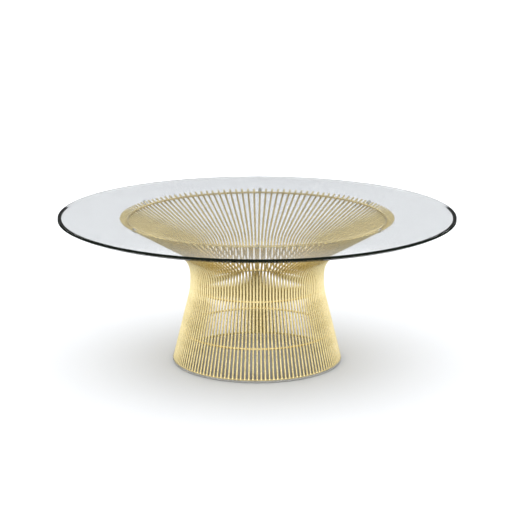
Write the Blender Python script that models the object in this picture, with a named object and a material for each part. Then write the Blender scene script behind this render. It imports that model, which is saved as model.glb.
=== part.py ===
"""Round glass-top coffee table on a waisted base of welded wire rods.

Metres, +Z up, with the origin on the floor under the middle of the table.
"""

import math

import bmesh
import bpy
from mathutils import Matrix, Vector

# Driving dimensions.
TABLE_HEIGHT = 0.406
CONTACT_GAP = 0.0003  # between pieces that touch

GLASS_RADIUS = 0.5335
GLASS_THICKNESS = 0.012
GLASS_LAND = 0.0065  # upright part of the edge, under the top face
GLASS_BEVEL = 0.010  # width of the bevel under it

ROD_COUNT = 131
FIRST_ROD = math.radians(-90.0)
ROD_RADIUS = 0.00275
RODS_PER_GROUP = 3
HOOP_ROD_RADIUS = 0.003

# The line of a rod: a straight leg, a slow bend at the waist, a quick one at the
# shoulder and a straight upper leg. Angles from upright are positive outwards.
FOOT_RADIUS = 0.2265
LEG_LEAN = math.radians(14.0)  # inwards from upright
LEG_TOP_HEIGHT = 0.175
WAIST_BEND_RADIUS = 0.214
WAIST_BEND_END = math.radians(6.5)
SHOULDER_BEND_RADIUS = 0.0645
UPPER_RISE = math.radians(29.8)  # above level
TIP_RADIUS = 0.3685

# Where each hoop meets the rods.
LOWER_HOOP_HEIGHT = 0.0855
WAIST_HOOP_TURN = math.radians(-6.0)  # the rods' angle from upright there
TOP_HOOP_RADIUS = 0.3502  # on the rod's middle line

FOOT_RING_FLOOR = 0.003
FOOT_RING_LIP = 0.0015

WELD_HALF_WIDTH = 0.0015
WELD_HEIGHT = 0.0035
WELD_OVERRUN = math.radians(0.35)  # past the outer rods of a group

BUMPER_COUNT = 6
BUMPER_SHIFT = 1 / 3  # of a rod, so that the bumpers come nearest to even steps of 60 degrees
BUMPER_RADIUS = 0.0052
BUMPER_SLEEVE = 0.009
BUMPER_END_WALL = 0.0022

# How finely the round shapes are divided.
ROD_SIDES = 6
WAIST_STEPS = 2
SHOULDER_STEPS = 4
HOOP_SIDES = 6
HOOP_STEPS = 66
GLASS_STEPS = 96
WELD_STEPS = 2
BUMPER_SIDES = 10
SMOOTH_BELOW = math.radians(80.0)

# Worked out from the dimensions above.
GLASS_BOTTOM = TABLE_HEIGHT - GLASS_THICKNESS
BASE_HOOP_HEIGHT = FOOT_RING_FLOOR + CONTACT_GAP + HOOP_ROD_RADIUS
ROD_FOOT_HEIGHT = BASE_HOOP_HEIGHT + HOOP_ROD_RADIUS + CONTACT_GAP
ROD_PITCH = 2 * math.pi / ROD_COUNT
GROUP_COUNT = math.ceil(ROD_COUNT / RODS_PER_GROUP)  # the last group is short
TOUCHING = ROD_RADIUS + HOOP_ROD_RADIUS + CONTACT_GAP  # a rod's middle to a hoop's
LEG_TOP_RADIUS = FOOT_RADIUS - (LEG_TOP_HEIGHT - ROD_FOOT_HEIGHT) * math.tan(LEG_LEAN)
LAST_TURN = math.pi / 2 - UPPER_RISE


def clear_scene():
    for obj in list(bpy.data.objects):
        bpy.data.objects.remove(obj)


def make_material(name, colour, roughness, metallic=0.0, transmission=0.0):
    material = bpy.data.materials.new(name)
    material.use_nodes = True
    shader = material.node_tree.nodes["Principled BSDF"]
    shader.inputs["Base Color"].default_value = (*colour, 1.0)
    shader.inputs["Roughness"].default_value = roughness
    shader.inputs["Metallic"].default_value = metallic
    shader.inputs["Transmission Weight"].default_value = transmission
    material.diffuse_color = (*colour, 1.0)
    return material


def finish_mesh(bm, name):
    """The bmesh as a mesh with its faces out, shaded smooth except at its real edges."""
    bmesh.ops.recalc_face_normals(bm, faces=bm.faces)
    mesh = bpy.data.meshes.new(name)
    bm.to_mesh(mesh)
    bm.free()
    mesh.shade_smooth()
    mesh.set_sharp_from_angle(angle=SMOOTH_BELOW)
    return mesh


def place(name, mesh, material, location=(0.0, 0.0, 0.0), rotation=(0.0, 0.0, 0.0)):
    obj = bpy.data.objects.new(name, mesh)
    if not mesh.materials:
        mesh.materials.append(material)
    obj.location = location
    obj.rotation_euler = rotation
    bpy.context.scene.collection.objects.link(obj)
    return obj


def bridge(bm, first, second):
    """Quads between two loops of vertices of equal length."""
    for i in range(len(first)):
        j = (i + 1) % len(first)
        bm.faces.new((first[i], first[j], second[j], second[i]))


def turned_ring(name, section, steps):
    """A closed section of (radius, height) points, turned once round the Z axis."""
    bm = bmesh.new()
    loops = []
    for step in range(steps):
        angle = 2 * math.pi * step / steps
        loops.append([
            bm.verts.new((r * math.cos(angle), r * math.sin(angle), z))
            for r, z in section
        ])
    for step in range(steps):
        bridge(bm, loops[step], loops[(step + 1) % steps])
    return finish_mesh(bm, name)


def turned_disc(name, outline, steps):
    """An outline of (radius, height) points from the top face to the bottom, turned and closed."""
    bm = bmesh.new()
    loops = []
    for r, z in outline:
        angles = [2 * math.pi * step / steps for step in range(steps)]
        loops.append([
            bm.verts.new((r * math.cos(angle), r * math.sin(angle), z))
            for angle in angles
        ])
    for upper, lower in zip(loops, loops[1:]):
        bridge(bm, upper, lower)
    bm.faces.new(loops[0])
    bm.faces.new(loops[-1])
    return finish_mesh(bm, name)


def along(turn):
    """Unit (radius, height) direction at an angle from upright."""
    return Vector((math.sin(turn), math.cos(turn)))


def across(turn):
    """Unit (radius, height) direction square to that one, on its outer side."""
    return Vector((math.cos(turn), -math.sin(turn)))


def leg_point(height):
    """The rod's middle on its straight leg at this height."""
    return Vector((FOOT_RADIUS - (height - ROD_FOOT_HEIGHT) * math.tan(LEG_LEAN), height))


def waist_point(turn):
    """The rod's middle in the waist bend, where its direction is at this angle from upright."""
    start = Vector((LEG_TOP_RADIUS, LEG_TOP_HEIGHT))
    middle = start + across(-LEG_LEAN) * WAIST_BEND_RADIUS
    return middle - across(turn) * WAIST_BEND_RADIUS


def shoulder_point(turn):
    """The same in the shoulder bend, which carries on from the waist bend."""
    middle = waist_point(WAIST_BEND_END) + across(WAIST_BEND_END) * SHOULDER_BEND_RADIUS
    return middle - across(turn) * SHOULDER_BEND_RADIUS


def upper_leg_point(radius):
    start = shoulder_point(LAST_TURN)
    return Vector((radius, start.y + (radius - start.x) * math.tan(UPPER_RISE)))


def rod_stations():
    """(point, angle from upright) along a rod's middle line, from foot to tip."""
    stations = [(leg_point(ROD_FOOT_HEIGHT), -LEG_LEAN)]
    for step in range(WAIST_STEPS):
        turn = -LEG_LEAN + (WAIST_BEND_END + LEG_LEAN) * step / WAIST_STEPS
        stations.append((waist_point(turn), turn))
    for step in range(SHOULDER_STEPS + 1):
        turn = WAIST_BEND_END + (LAST_TURN - WAIST_BEND_END) * step / SHOULDER_STEPS
        stations.append((shoulder_point(turn), turn))
    stations.append((upper_leg_point(TIP_RADIUS), LAST_TURN))
    return stations


def rod_loop(bm, point, turn, level, spin):
    """One ring of a rod's surface; a level ring is cut flat to stand on the hoop."""
    loop = []
    for side in range(ROD_SIDES):
        angle = 2 * math.pi * side / ROD_SIDES
        spot = point + across(turn) * (ROD_RADIUS * math.cos(angle))
        if level:
            spot -= along(turn) * ((spot.y - point.y) / along(turn).y)
        sideways = ROD_RADIUS * math.sin(angle)
        loop.append(bm.verts.new(spin @ Vector((spot.x, sideways, spot.y))))
    return loop


def add_rod(bm, angle):
    spin = Matrix.Rotation(angle, 3, "Z")
    stations = rod_stations()
    loops = []
    for index, (point, turn) in enumerate(stations):
        loops.append(rod_loop(bm, point, turn, index == 0, spin))
    for lower, upper in zip(loops, loops[1:]):
        bridge(bm, lower, upper)
    bm.faces.new(loops[0])
    bm.faces.new(loops[-1])


def add_weld_run(bm, rods_in_group):
    """The short bar of weld that ties the feet of one group, just above the base hoop."""
    half_angle = ROD_PITCH * (rods_in_group - 1) / 2 + WELD_OVERRUN
    low = ROD_FOOT_HEIGHT + CONTACT_GAP
    high = low + WELD_HEIGHT
    inner = FOOT_RADIUS - WELD_HALF_WIDTH
    outer = FOOT_RADIUS + WELD_HALF_WIDTH
    loops = []
    for step in range(WELD_STEPS + 1):
        angle = -half_angle + 2 * half_angle * step / WELD_STEPS
        corners = ((inner, low), (outer, low), (outer, high), (inner, high))
        loops.append([
            bm.verts.new((r * math.cos(angle), r * math.sin(angle), z))
            for r, z in corners
        ])
    for first, second in zip(loops, loops[1:]):
        bridge(bm, first, second)
    bm.faces.new(loops[0])
    bm.faces.new(loops[-1])


def rod_group_mesh(rods_in_group):
    """Neighbouring rods about local +X and their foot weld, made one body with a Boolean union."""
    rods = bmesh.new()
    for index in range(rods_in_group):
        add_rod(rods, (index - (rods_in_group - 1) / 2) * ROD_PITCH)
    weld = bmesh.new()
    add_weld_run(weld, rods_in_group)
    rods_object = bpy.data.objects.new("rod_group_shape", finish_mesh(rods, "rods"))
    weld_object = bpy.data.objects.new("weld_shape", finish_mesh(weld, "weld"))
    for helper in (rods_object, weld_object):
        bpy.context.scene.collection.objects.link(helper)
        helper.hide_render = True
        helper.display_type = "WIRE"
    union = rods_object.modifiers.new("foot_weld", "BOOLEAN")
    union.operation = "UNION"
    union.solver = "EXACT"
    union.object = weld_object
    graph = bpy.context.evaluated_depsgraph_get()
    mesh = bpy.data.meshes.new_from_object(rods_object.evaluated_get(graph))
    mesh.name = "rod_group"
    mesh.shade_smooth()
    mesh.set_sharp_from_angle(angle=SMOOTH_BELOW)
    for helper in (rods_object, weld_object):
        bpy.data.objects.remove(helper)
    return mesh


def make_rod_groups(metal):
    full_mesh = rod_group_mesh(RODS_PER_GROUP)
    for group in range(GROUP_COUNT):
        first = group * RODS_PER_GROUP
        count = min(RODS_PER_GROUP, ROD_COUNT - first)
        mesh = full_mesh if count == RODS_PER_GROUP else rod_group_mesh(count)
        angle = FIRST_ROD + (first + (count - 1) / 2) * ROD_PITCH
        place(f"rod_group_{group + 1:02d}", mesh, metal, rotation=(0.0, 0.0, angle))


def make_hoop(name, radius, height, metal):
    section = []
    for side in range(HOOP_SIDES):
        angle = 2 * math.pi * (side + 0.5) / HOOP_SIDES
        section.append((
            radius + HOOP_ROD_RADIUS * math.cos(angle),
            height + HOOP_ROD_RADIUS * math.sin(angle),
        ))
    place(name, turned_ring(name, section, HOOP_STEPS), metal)


def inner_hoop(name, touch, turn, metal):
    """A hoop inside the cage, against a rod's middle line at a point where it turns so far."""
    middle = touch - across(turn) * TOUCHING
    make_hoop(name, middle.x, middle.y, metal)


def make_hoops(metal):
    make_hoop("base_hoop", FOOT_RADIUS, BASE_HOOP_HEIGHT, metal)
    inner_hoop("lower_hoop", leg_point(LOWER_HOOP_HEIGHT), -LEG_LEAN, metal)
    inner_hoop("waist_hoop", waist_point(WAIST_HOOP_TURN), WAIST_HOOP_TURN, metal)
    inner_hoop("top_hoop", upper_leg_point(TOP_HOOP_RADIUS), LAST_TURN, metal)


def make_foot_ring(plastic):
    """A clear channel along the underside of the base hoop, which the table stands on."""
    inner_half = HOOP_ROD_RADIUS + CONTACT_GAP
    outer_half = inner_half + FOOT_RING_LIP
    lip_top = BASE_HOOP_HEIGHT
    section = (
        (FOOT_RADIUS - outer_half, 0.0),
        (FOOT_RADIUS + outer_half, 0.0),
        (FOOT_RADIUS + outer_half, lip_top),
        (FOOT_RADIUS + inner_half, lip_top),
        (FOOT_RADIUS + inner_half, FOOT_RING_FLOOR),
        (FOOT_RADIUS - inner_half, FOOT_RING_FLOOR),
        (FOOT_RADIUS - inner_half, lip_top),
        (FOOT_RADIUS - outer_half, lip_top),
    )
    place("foot_ring", turned_ring("foot_ring", section, HOOP_STEPS), plastic)


def bumper_mesh():
    """A cap along local +X with a blind bore for the rod tip at its origin, cut level on top."""
    bore = ROD_RADIUS + CONTACT_GAP
    rings = (
        (CONTACT_GAP, bore),
        (-BUMPER_SLEEVE, bore),
        (-BUMPER_SLEEVE, BUMPER_RADIUS),
        (CONTACT_GAP + BUMPER_END_WALL, BUMPER_RADIUS),
    )
    bm = bmesh.new()
    loops = []
    for x, radius in rings:
        loop = []
        for side in range(BUMPER_SIDES):
            angle = 2 * math.pi * side / BUMPER_SIDES
            loop.append(bm.verts.new((x, radius * math.cos(angle), radius * math.sin(angle))))
        loops.append(loop)
    for first, second in zip(loops, loops[1:]):
        bridge(bm, first, second)
    bm.faces.new(loops[0])
    bm.faces.new(loops[-1])
    tip_height = upper_leg_point(TIP_RADIUS).y
    level = Vector((math.sin(UPPER_RISE), 0.0, math.cos(UPPER_RISE)))
    top = level * (GLASS_BOTTOM - CONTACT_GAP - tip_height)
    cut = bmesh.ops.bisect_plane(
        bm,
        geom=bm.verts[:] + bm.edges[:] + bm.faces[:],
        plane_co=top,
        plane_no=level,
        clear_outer=True,
    )
    rim = [item for item in cut["geom_cut"] if isinstance(item, bmesh.types.BMEdge)]
    bmesh.ops.contextual_create(bm, geom=rim)
    return finish_mesh(bm, "bumper")


def make_bumpers(plastic):
    mesh = bumper_mesh()
    tip = upper_leg_point(TIP_RADIUS)
    for index in range(BUMPER_COUNT):
        rod = math.floor(index * ROD_COUNT / BUMPER_COUNT + BUMPER_SHIFT)
        angle = FIRST_ROD + rod * ROD_PITCH
        place(
            f"tip_bumper_{index + 1}",
            mesh,
            plastic,
            location=(tip.x * math.cos(angle), tip.x * math.sin(angle), tip.y),
            rotation=(0.0, -UPPER_RISE, angle),
        )


def make_glass_top(glass):
    outline = (
        (GLASS_RADIUS, TABLE_HEIGHT),
        (GLASS_RADIUS, TABLE_HEIGHT - GLASS_LAND),
        (GLASS_RADIUS - GLASS_BEVEL, GLASS_BOTTOM),
    )
    place("glass_top", turned_disc("glass_top", outline, GLASS_STEPS), glass)


def main():
    clear_scene()
    metal = make_material("satin_gold", (0.66, 0.55, 0.35), 0.32, metallic=1.0)
    plastic = make_material("clear_plastic", (0.80, 0.82, 0.80), 0.15, transmission=0.9)
    glass = make_material("clear_glass", (0.93, 0.96, 0.96), 0.02, transmission=1.0)
    make_hoops(metal)
    make_rod_groups(metal)
    make_foot_ring(plastic)
    make_bumpers(plastic)
    make_glass_top(glass)


main()
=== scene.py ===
import math

import bmesh
import bpy
from mathutils import Matrix, Vector


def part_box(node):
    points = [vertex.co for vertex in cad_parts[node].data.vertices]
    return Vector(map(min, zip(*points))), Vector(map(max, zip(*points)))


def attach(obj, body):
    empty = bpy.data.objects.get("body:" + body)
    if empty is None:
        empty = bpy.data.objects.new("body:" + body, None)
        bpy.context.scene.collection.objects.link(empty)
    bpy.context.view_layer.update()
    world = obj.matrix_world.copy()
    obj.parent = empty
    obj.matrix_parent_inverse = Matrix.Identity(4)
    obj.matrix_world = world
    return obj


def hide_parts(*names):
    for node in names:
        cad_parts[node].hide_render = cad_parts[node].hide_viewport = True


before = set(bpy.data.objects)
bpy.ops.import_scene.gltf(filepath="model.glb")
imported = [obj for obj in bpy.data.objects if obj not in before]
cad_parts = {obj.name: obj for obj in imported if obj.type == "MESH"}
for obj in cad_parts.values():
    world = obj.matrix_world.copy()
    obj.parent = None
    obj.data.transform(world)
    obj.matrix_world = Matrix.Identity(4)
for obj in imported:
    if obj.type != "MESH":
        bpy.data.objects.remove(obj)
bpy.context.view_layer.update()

MM = 0.001
ZERO = (0.0, 0.0, 0.0)

# Camera and floor. Lengths are in metres, but the lens and its sensor are in mm.
CAMERA_PLACE = (-0.003, -4.3114, 1.3136)
CAMERA_PITCH = math.radians(13.393)  # below level
CAMERA_LENS = 115.1
CAMERA_SENSOR = 36.0
FLOOR_HALF = 60.0

# Brightness of the studio in each direction, by how far it points upwards: 0 is level, 1 is overhead.
# The dark strip is what the glass reflects to the camera.
SKY_STRENGTH = 3.25
SKY_BAND = (
    (0.0, 0.32),
    (0.13, 0.32),
    (0.165, 0.03),
    (0.225, 0.035),
    (0.28, 1.0),
    (0.44, 1.0),
    (0.56, 0.45),
    (0.75, 0.37),
    (1.0, 0.36),
)

# Painted shadow on the floor: how light the floor is at each distance from the table's middle,
# metres. It is darkest inside the foot and lightest far away, where the table's shade would fall and
# fade.
FLOOR_REACH = 3.0  # the length of the colour ramp that holds these levels
FLOOR_SHADOW_LEVELS = (
    (0.0, 0.36),
    (0.12, 0.31),
    (0.19, 0.26),
    (0.24, 0.57),
    (0.45, 0.69),
    (0.70, 0.80),
    (1.0, 0.87),
    (2.2, 0.96),
)
FLOOR_TINT = (0.98, 1.0, 1.03)  # faintly cool

# The base, as the CAD has it. Radii and heights not given here come from the frame's boxes.
ROD_COUNT = 131
FIRST_ROD = math.radians(-90.0)
RODS_PER_GROUP = 3
GROUP_COUNT = math.ceil(ROD_COUNT / RODS_PER_GROUP)  # the last group is short
ROD_PITCH = 2 * math.pi / ROD_COUNT
ROD_RADIUS = 2.75 * MM
HOOP_ROD_RADIUS = 3.0 * MM
LEG_LEAN = math.radians(14.0)
LEG_TOP_HEIGHT = 0.175
WAIST_BEND_RADIUS = 0.214
WAIST_BEND_END = math.radians(6.5)
WAIST_HOOP_TURN = math.radians(-6.0)
SHOULDER_BEND_RADIUS = 0.0645
UPPER_RISE = math.radians(29.8)
TIP_RADIUS = 0.3685
BUMPER_COUNT = 6
BUMPER_SHIFT = 1 / 3  # of a rod, as in the CAD

# Details of the shown model.
ROD_SINK = 1.6 * MM  # the rods' feet start this far above the base hoop's middle, inside its wire
ROD_FLARE = ((0.0, 2.95), (1.2, 2.8), (2.4, 2.75))  # (rise, radius) up the foot's weld, mm
ROD_DOME = 0.9 * MM
BEAD_LIFT = 0.15 * MM  # from the hoop's surface, halfway across the CAD's gap to the rod
BEAD_ALONG, BEAD_ACROSS, BEAD_SIDE = 2.3 * MM, 1.7 * MM, 2.9 * MM  # half sizes of a weld bead
FOOT_WALL = 1.5 * MM
FOOT_FLOOR = 3.0 * MM
FOOT_EDGE = 0.5 * MM
BUMPER_OUTER = 5.0 * MM
BUMPER_BORE = ROD_RADIUS + 0.1 * MM
BUMPER_BORE_END = 0.2 * MM  # past the rod's tip
BUMPER_DOME_START = 0.3 * MM
BUMPER_DOME_LENGTH = 1.6 * MM
BUMPER_DOME_DROP = 1.8 * MM

# The glass top's edge: an upright land, and a bevel under it.
GLASS_LAND = 6.5 * MM
GLASS_BEVEL = 10.0 * MM
GLASS_ARRIS = 0.3 * MM
UPRIGHT_FACE = 0.3  # a face whose normal points up or down by less than this belongs to the land

# How finely the shown meshes are divided.
ROD_SIDES = 16
LEG_STEPS = 3
WAIST_STEPS = 10
SHOULDER_STEPS = 12
TIP_STEPS = 4
HOOP_SIDES = 16
HOOP_STEPS = 264
GLASS_STEPS = 360
BEAD_RINGS = 5
BEAD_POINTS = 8
BUMPER_SIDES = 24
BUMPER_DOME_STEPS = 6


# ---------------------------------------------------------------- materials

def new_material(name):
    material = bpy.data.materials.new(name)
    material.use_nodes = True
    nodes = material.node_tree.nodes
    return material, nodes, material.node_tree.links, nodes["Principled BSDF"]


def object_coordinates(nodes, links, scale):
    coordinates = nodes.new("ShaderNodeTexCoord")
    mapping = nodes.new("ShaderNodeMapping")
    mapping.inputs["Scale"].default_value = scale
    links.new(coordinates.outputs["Object"], mapping.inputs["Vector"])
    return mapping.outputs["Vector"]


def noise(nodes, links, vector, scale, detail=3.0, roughness=0.55):
    texture = nodes.new("ShaderNodeTexNoise")
    texture.inputs["Scale"].default_value = scale
    texture.inputs["Detail"].default_value = detail
    texture.inputs["Roughness"].default_value = roughness
    links.new(vector, texture.inputs["Vector"])
    return texture.outputs["Fac"]


def ramp(nodes, links, factor, stops):
    node = nodes.new("ShaderNodeValToRGB")
    elements = node.color_ramp.elements
    while len(elements) < len(stops):
        elements.new(0.5)
    for element, (position, colour) in zip(elements, stops):
        element.position = position
        element.color = (*colour, 1.0)
    links.new(factor, node.inputs["Fac"])
    return node.outputs["Color"]


def to_range(nodes, links, factor, low, high, from_low=0.3, from_high=0.7):
    """Spreads a factor over low to high. A noise mostly stays within 0.3 to 0.7."""
    node = nodes.new("ShaderNodeMapRange")
    node.inputs["From Min"].default_value = from_low
    node.inputs["From Max"].default_value = from_high
    node.inputs["To Min"].default_value = low
    node.inputs["To Max"].default_value = high
    links.new(factor, node.inputs["Value"])
    return node.outputs["Result"]


def bump(nodes, links, shader, height, distance, strength):
    node = nodes.new("ShaderNodeBump")
    node.inputs["Distance"].default_value = distance
    node.inputs["Strength"].default_value = strength
    links.new(height, node.inputs["Height"])
    links.new(node.outputs["Normal"], shader.inputs["Normal"])


def satin_gold(name, tone, smoothest, roughest):
    """Plated steel wire: pale satin gold with faint clouding and fine draw lines. A tone below 1
    makes a darker copy, which paints shade.
    """
    material, nodes, links, shader = new_material(name)
    shader.inputs["Metallic"].default_value = 1.0
    vector = object_coordinates(nodes, links, (1.0, 1.0, 1.0))
    cloud = noise(nodes, links, vector, scale=38.0, detail=4.0)
    golds = (
        (0.30, (0.70, 0.58, 0.29)),
        (0.50, (0.76, 0.635, 0.33)),
        (0.72, (0.82, 0.695, 0.385)),
    )
    colour = ramp(nodes, links, cloud, [(at, [tone * part for part in gold]) for at, gold in golds])
    links.new(colour, shader.inputs["Base Color"])
    drawn = object_coordinates(nodes, links, (1.0, 1.0, 0.06))
    lines = noise(nodes, links, drawn, scale=900.0, detail=2.0)
    links.new(to_range(nodes, links, lines, smoothest, roughest), shader.inputs["Roughness"])
    bump(nodes, links, shader, lines, distance=0.02 * MM, strength=0.25)
    return material


def clear_glass():
    """Clear float glass: polished, green-blue in its depth, with a light haze of wiping."""
    material, nodes, links, shader = new_material("clear_glass")
    shader.inputs["Base Color"].default_value = (1.0, 1.0, 1.0, 1.0)
    shader.inputs["Transmission Weight"].default_value = 1.0
    shader.inputs["IOR"].default_value = 1.52
    vector = object_coordinates(nodes, links, (1.0, 1.0, 1.0))
    wipes = noise(nodes, links, vector, scale=7.0, detail=5.0, roughness=0.6)
    haze = to_range(nodes, links, wipes, 0.0, 0.02, from_low=0.45, from_high=0.8)
    links.new(haze, shader.inputs["Roughness"])
    absorption = nodes.new("ShaderNodeVolumeAbsorption")
    absorption.inputs["Color"].default_value = (0.20, 0.42, 0.48, 1.0)
    absorption.inputs["Density"].default_value = 3.0
    links.new(absorption.outputs["Volume"], nodes["Material Output"].inputs["Volume"])
    return material


def glass_land_painted_dark():
    """The upright part of the polished edge, painted nearly black with no reflection: painted shade
    for the dark look of clear glass seen along the plate.
    """
    material, nodes, links, shader = new_material("glass_land_painted_dark")
    vector = object_coordinates(nodes, links, (1.0, 1.0, 40.0))
    lines = noise(nodes, links, vector, scale=30.0)
    links.new(
        ramp(nodes, links, lines, ((0.35, (0.006, 0.008, 0.006)), (0.65, (0.010, 0.013, 0.010)))),
        shader.inputs["Base Color"],
    )
    links.new(to_range(nodes, links, lines, 0.10, 0.20), shader.inputs["Roughness"])
    shader.inputs["Specular IOR Level"].default_value = 0.0
    return material


def clear_plastic(name, clearness):
    """Flexible plastic: see-through by its clearness, a little hazy, faintly yellowed."""
    material, nodes, links, shader = new_material(name)
    shader.inputs["Transmission Weight"].default_value = clearness
    shader.inputs["IOR"].default_value = 1.41
    vector = object_coordinates(nodes, links, (1.0, 1.0, 1.0))
    haze = noise(nodes, links, vector, scale=60.0)
    links.new(
        ramp(nodes, links, haze, ((0.3, (0.93, 0.93, 0.89)), (0.7, (0.98, 0.98, 0.96)))),
        shader.inputs["Base Color"],
    )
    links.new(to_range(nodes, links, haze, 0.05, 0.14), shader.inputs["Roughness"])
    return material


def floor_with_painted_shadow():
    """Matt pale floor with a painted shadow: dark inside the foot of the table and lightest far away
    from it.
    """
    material, nodes, links, shader = new_material("floor_with_painted_shadow")
    coordinates = nodes.new("ShaderNodeTexCoord")
    distance = nodes.new("ShaderNodeVectorMath")
    distance.operation = "LENGTH"
    links.new(coordinates.outputs["Object"], distance.inputs[0])
    away = to_range(nodes, links, distance.outputs["Value"], 0.0, 1.0, 0.0, FLOOR_REACH)
    stops = [(at / FLOOR_REACH, [level * tint for tint in FLOOR_TINT]) for at, level in FLOOR_SHADOW_LEVELS]
    links.new(ramp(nodes, links, away, stops), shader.inputs["Base Color"])
    shader.inputs["Roughness"].default_value = 0.9
    shader.inputs["Specular IOR Level"].default_value = 0.1
    return material


# ------------------------------------------------------------------- meshes

def finish_mesh(bm, name, sharp_degrees=40.0):
    bmesh.ops.recalc_face_normals(bm, faces=bm.faces)
    mesh = bpy.data.meshes.new(name)
    bm.to_mesh(mesh)
    bm.free()
    mesh.shade_smooth()
    mesh.set_sharp_from_angle(angle=math.radians(sharp_degrees))
    return mesh


def show(name, mesh, material, body, nodes, rotation=ZERO, location=ZERO):
    """Puts a piece in the scene, on its body, in place of its CAD nodes."""
    piece = bpy.data.objects.new(name, mesh)
    piece.location = location
    piece.rotation_euler = rotation
    bpy.context.scene.collection.objects.link(piece)
    if not mesh.materials:
        mesh.materials.append(material)
    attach(piece, body)
    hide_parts(*nodes)
    return piece


def bridge(bm, first, second):
    for i in range(len(first)):
        j = (i + 1) % len(first)
        bm.faces.new((first[i], first[j], second[j], second[i]))


def turned_loops(bm, outline, steps):
    """One level loop of vertices for each (radius, height) point."""
    loops = []
    for r, z in outline:
        loop = []
        for step in range(steps):
            angle = 2 * math.pi * step / steps
            loop.append(bm.verts.new((r * math.cos(angle), r * math.sin(angle), z)))
        loops.append(loop)
    return loops


def turned_ring(name, section, steps):
    """A closed section of (radius, height) points, turned once round the Z axis."""
    bm = bmesh.new()
    loops = turned_loops(bm, section, steps)
    for first, second in zip(loops, loops[1:] + loops[:1]):
        bridge(bm, first, second)
    return finish_mesh(bm, name)


def rounded(points, radius, steps=3):
    """A closed outline with its corners rounded by short arcs."""
    out = []
    count = len(points)
    for i in range(count):
        before = Vector(points[i - 1])
        corner = Vector(points[i])
        after = Vector(points[(i + 1) % count])
        start = corner + (before - corner).normalized() * radius
        end = corner + (after - corner).normalized() * radius
        for step in range(steps + 1):
            t = step / steps
            out.append(tuple(start * (1 - t) ** 2 + corner * 2 * t * (1 - t) + end * t ** 2))
    return out


# ------------------------------------------------------------ the base's line

def hoop_middle(node):
    """(radius, height) of a hoop's middle line, from its CAD box."""
    low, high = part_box(node)
    flat = HOOP_ROD_RADIUS * math.cos(math.pi / 6)  # the CAD hoop's six sides, at its outside
    return Vector((high.x - flat, (low.z + high.z) / 2))


def along(turn):
    """Unit (radius, height) direction at an angle from upright, positive outwards."""
    return Vector((math.sin(turn), math.cos(turn)))


def across(turn):
    """Unit (radius, height) direction square to that one, on its outer side."""
    return Vector((math.cos(turn), -math.sin(turn)))


BASE_HOOP = hoop_middle("base_hoop")
LOWER_HOOP = hoop_middle("lower_hoop")
WAIST_HOOP = hoop_middle("waist_hoop")
TOP_HOOP = hoop_middle("top_hoop")
FOOT_RADIUS = BASE_HOOP.x
ROD_FOOT_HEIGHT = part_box("rod_group_01")[0].z
LEG_TOP_RADIUS = FOOT_RADIUS - (LEG_TOP_HEIGHT - ROD_FOOT_HEIGHT) * math.tan(LEG_LEAN)
LAST_TURN = math.pi / 2 - UPPER_RISE


def leg_point(height):
    return Vector((FOOT_RADIUS - (height - ROD_FOOT_HEIGHT) * math.tan(LEG_LEAN), height))


def waist_point(turn):
    middle = Vector((LEG_TOP_RADIUS, LEG_TOP_HEIGHT)) + across(-LEG_LEAN) * WAIST_BEND_RADIUS
    return middle - across(turn) * WAIST_BEND_RADIUS


def shoulder_point(turn):
    middle = waist_point(WAIST_BEND_END) + across(WAIST_BEND_END) * SHOULDER_BEND_RADIUS
    return middle - across(turn) * SHOULDER_BEND_RADIUS


def tip_point():
    start = shoulder_point(LAST_TURN)
    return start + along(LAST_TURN) * ((TIP_RADIUS - start.x) / math.cos(UPPER_RISE))


def rod_stations():
    """(point, angle from upright, radius) along a rod, from its flared foot to its domed tip."""
    stations = []
    sunk = BASE_HOOP.y + ROD_SINK
    for rise, radius in ROD_FLARE:
        stations.append((leg_point(sunk + rise * MM), -LEG_LEAN, radius * MM))
    for step in range(1, LEG_STEPS):
        height = sunk + (LEG_TOP_HEIGHT - sunk) * step / LEG_STEPS
        stations.append((leg_point(height), -LEG_LEAN, ROD_RADIUS))
    for step in range(WAIST_STEPS):
        turn = -LEG_LEAN + (WAIST_BEND_END + LEG_LEAN) * step / WAIST_STEPS
        stations.append((waist_point(turn), turn, ROD_RADIUS))
    for step in range(SHOULDER_STEPS + 1):
        turn = WAIST_BEND_END + (LAST_TURN - WAIST_BEND_END) * step / SHOULDER_STEPS
        stations.append((shoulder_point(turn), turn, ROD_RADIUS))
    tip = tip_point()
    for step in range(TIP_STEPS + 1):
        angle = math.pi / 2 * step / TIP_STEPS
        radius = ROD_RADIUS - ROD_DOME * (1 - math.cos(angle))
        place = tip + along(LAST_TURN) * ROD_DOME * (math.sin(angle) - 1)
        stations.append((place, LAST_TURN, radius))
    return stations


def add_rod(bm, angle, stations):
    spin = Matrix.Rotation(angle, 3, "Z")
    loops = []
    for point, turn, radius in stations:
        loop = []
        for side in range(ROD_SIDES):
            around = 2 * math.pi * side / ROD_SIDES
            flat = point + across(turn) * (radius * math.cos(around))
            loop.append(bm.verts.new(spin @ Vector((flat.x, radius * math.sin(around), flat.y))))
        loops.append(loop)
    for lower, upper in zip(loops, loops[1:]):
        bridge(bm, lower, upper)
    bm.faces.new(loops[0])
    bm.faces.new(loops[-1])


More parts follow.
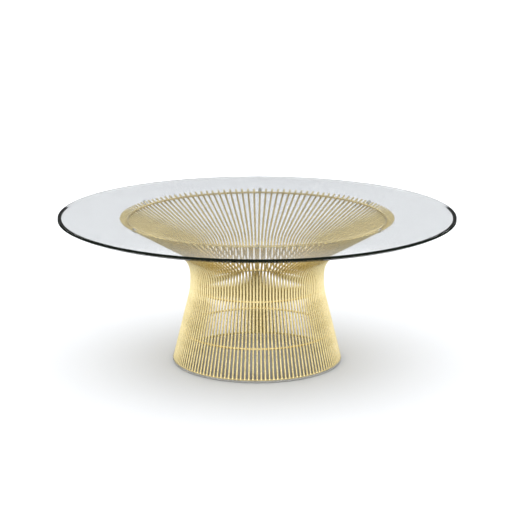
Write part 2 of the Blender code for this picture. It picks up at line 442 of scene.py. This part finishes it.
def add_bead(bm, angle, hoop, turn):
    """A small weld bead between a hoop and a rod, as a flattened ball that spreads along the hoop."""
    middle = hoop + across(turn) * (HOOP_ROD_RADIUS + BEAD_LIFT)
    spin = Matrix.Rotation(angle, 3, "Z")
    loops = []
    for ring in range(1, BEAD_RINGS + 1):
        polar = math.pi * ring / (BEAD_RINGS + 1)
        flat_radius = math.sin(polar)
        loop = []
        for side in range(BEAD_POINTS):
            around = 2 * math.pi * side / BEAD_POINTS
            flat = middle + along(turn) * (BEAD_ALONG * math.cos(around) * flat_radius)
            flat = flat + across(turn) * (BEAD_ACROSS * math.sin(around) * flat_radius)
            loop.append(bm.verts.new(spin @ Vector((flat.x, BEAD_SIDE * math.cos(polar), flat.y))))
        loops.append(loop)
    for first, second in zip(loops, loops[1:]):
        bridge(bm, first, second)
    for loop, sign in ((loops[0], 1), (loops[-1], -1)):
        pole = bm.verts.new(spin @ Vector((middle.x, sign * BEAD_SIDE, middle.y)))
        for i in range(len(loop)):
            bm.faces.new((loop[i], loop[(i + 1) % len(loop)], pole))


def rod_group_mesh(count):
    bm = bmesh.new()
    stations = rod_stations()
    for index in range(count):
        angle = (index - (count - 1) / 2) * ROD_PITCH
        add_rod(bm, angle, stations)
        add_bead(bm, angle, LOWER_HOOP, -LEG_LEAN)
        add_bead(bm, angle, WAIST_HOOP, WAIST_HOOP_TURN)
        add_bead(bm, angle, TOP_HOOP, LAST_TURN)
    return finish_mesh(bm, "rods", sharp_degrees=50.0)


def make_rods(metal):
    full_mesh = rod_group_mesh(RODS_PER_GROUP)
    for group in range(GROUP_COUNT):
        first = group * RODS_PER_GROUP
        count = min(RODS_PER_GROUP, ROD_COUNT - first)
        mesh = full_mesh if count == RODS_PER_GROUP else rod_group_mesh(count)
        angle = FIRST_ROD + (first + (count - 1) / 2) * ROD_PITCH
        node = f"rod_group_{group + 1:02d}"
        turned = (0.0, 0.0, angle)
        show(f"rods_{group + 1:02d}", mesh, metal, "base", [node], rotation=turned)


def make_hoops(metal, shaded_metal):
    for name, middle, finish in (
        ("base_hoop", BASE_HOOP, shaded_metal),
        ("lower_hoop", LOWER_HOOP, metal),
        ("waist_hoop", WAIST_HOOP, metal),
        ("top_hoop", TOP_HOOP, metal),
    ):
        section = []
        for side in range(HOOP_SIDES):
            angle = 2 * math.pi * side / HOOP_SIDES
            section.append((
                middle.x + HOOP_ROD_RADIUS * math.cos(angle),
                middle.y + HOOP_ROD_RADIUS * math.sin(angle),
            ))
        mesh = turned_ring(name, section, HOOP_STEPS)
        show(f"{name}_wire", mesh, finish, "base", [name])


def make_foot_ring(plastic):
    """The clear channel under the base hoop, with soft edges and lips that hug the wire."""
    low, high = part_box("foot_ring")
    outer = high.x
    inner = 2 * FOOT_RADIUS - outer
    section = (
        (inner, low.z),
        (outer, low.z),
        (outer, high.z),
        (outer - FOOT_WALL, high.z),
        (outer - FOOT_WALL, FOOT_FLOOR),
        (inner + FOOT_WALL, FOOT_FLOOR),
        (inner + FOOT_WALL, high.z),
        (inner, high.z),
    )
    mesh = turned_ring("foot_ring", rounded(section, FOOT_EDGE), HOOP_STEPS)
    show("foot_ring_strip", mesh, plastic, "base", ["foot_ring"])


def bumper_mesh():
    """A clear cap on a rod tip: a sleeve with a soft rim and a domed end, along local +X."""
    outline = [
        (BUMPER_BORE_END, BUMPER_BORE),
        (-9.0 * MM, BUMPER_BORE),
        (-9.0 * MM, BUMPER_OUTER - 0.8 * MM),
        (-8.8 * MM, BUMPER_OUTER - 0.3 * MM),
        (-8.2 * MM, BUMPER_OUTER),
    ]
    for step in range(BUMPER_DOME_STEPS + 1):
        angle = math.pi / 2 * step / BUMPER_DOME_STEPS
        x = BUMPER_DOME_START + BUMPER_DOME_LENGTH * math.sin(angle)
        outline.append((x, BUMPER_OUTER - BUMPER_DOME_DROP * (1 - math.cos(angle))))
    bm = bmesh.new()
    loops = []
    for x, radius in outline:
        loop = []
        for side in range(BUMPER_SIDES):
            angle = 2 * math.pi * side / BUMPER_SIDES
            loop.append(bm.verts.new((x, radius * math.cos(angle), radius * math.sin(angle))))
        loops.append(loop)
    for first, second in zip(loops, loops[1:]):
        bridge(bm, first, second)
    bm.faces.new(loops[0])
    bm.faces.new(loops[-1])
    return finish_mesh(bm, "bumper", sharp_degrees=50.0)


def make_bumpers(plastic):
    mesh = bumper_mesh()
    tip = tip_point()
    for index in range(BUMPER_COUNT):
        rod = math.floor(index * ROD_COUNT / BUMPER_COUNT + BUMPER_SHIFT)
        angle = FIRST_ROD + rod * ROD_PITCH
        show(
            f"tip_cap_{index + 1}",
            mesh,
            plastic,
            "base",
            [f"tip_bumper_{index + 1}"],
            rotation=(0.0, -UPPER_RISE, angle),
            location=(tip.x * math.cos(angle), tip.x * math.sin(angle), tip.y),
        )


def make_glass(glass, land):
    """The plate, with a soft upper edge, a polished land and a wide bevel underneath."""
    low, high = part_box("glass_top")
    radius = high.x
    outline = (
        (radius - GLASS_ARRIS, high.z),
        (radius, high.z - GLASS_ARRIS),
        (radius, high.z - GLASS_LAND),
        (radius - GLASS_BEVEL, low.z),
    )
    bm = bmesh.new()
    loops = turned_loops(bm, outline, GLASS_STEPS)
    for first, second in zip(loops, loops[1:]):
        bridge(bm, first, second)
    bm.faces.new(loops[0])
    bm.faces.new(loops[-1])
    mesh = finish_mesh(bm, "glass_plate", sharp_degrees=15.0)
    mesh.materials.append(glass)
    mesh.materials.append(land)
    # The land's faces get the near-black material: painted shade on the glass edge.
    for face in mesh.polygons:
        if abs(face.normal.z) < UPRIGHT_FACE:
            face.material_index = 1
    show("glass_plate", mesh, glass, "glass", ["glass_top"])


# ------------------------------------------------------------ room and camera

def make_floor():
    bm = bmesh.new()
    bmesh.ops.create_grid(bm, x_segments=2, y_segments=2, size=FLOOR_HALF)
    mesh = bpy.data.meshes.new("floor")
    bm.to_mesh(mesh)
    bm.free()
    mesh.materials.append(floor_with_painted_shadow())
    floor = bpy.data.objects.new("floor", mesh)
    bpy.context.scene.collection.objects.link(floor)


def make_world():
    """A soft studio: a wide band of light all round, above a dark strip and under a dim ceiling."""
    world = bpy.data.worlds.new("studio")
    bpy.context.scene.world = world
    world.use_nodes = True
    nodes = world.node_tree.nodes
    links = world.node_tree.links
    background = nodes["Background"]
    coordinates = nodes.new("ShaderNodeTexCoord")
    split = nodes.new("ShaderNodeSeparateXYZ")
    links.new(coordinates.outputs["Generated"], split.inputs["Vector"])
    stops = [(position, (level, level, level)) for position, level in SKY_BAND]
    links.new(ramp(nodes, links, split.outputs["Z"], stops), background.inputs["Color"])
    background.inputs["Strength"].default_value = SKY_STRENGTH


def make_camera():
    data = bpy.data.cameras.new("camera")
    data.lens = CAMERA_LENS
    data.sensor_width = CAMERA_SENSOR
    camera = bpy.data.objects.new("camera", data)
    camera.location = CAMERA_PLACE
    camera.rotation_euler = (math.pi / 2 - CAMERA_PITCH, 0.0, 0.0)
    bpy.context.scene.collection.objects.link(camera)
    bpy.context.scene.camera = camera
    bpy.context.scene.view_settings.view_transform = "Standard"


def main():
    make_camera()
    metal = satin_gold("satin_gold", tone=1.0, smoothest=0.18, roughest=0.30)
    # The base hoop's darker copy of the gold (tone 0.60) is painted shade along the foot; it is also
    # rougher.
    shaded_metal = satin_gold("shaded_gold", tone=0.60, smoothest=0.42, roughest=0.60)
    make_rods(metal)
    make_hoops(metal, shaded_metal)
    make_foot_ring(clear_plastic("cloudy_plastic", clearness=0.78))
    make_bumpers(clear_plastic("clear_plastic", clearness=0.97))
    make_glass(clear_glass(), glass_land_painted_dark())
    make_floor()
    make_world()


main()
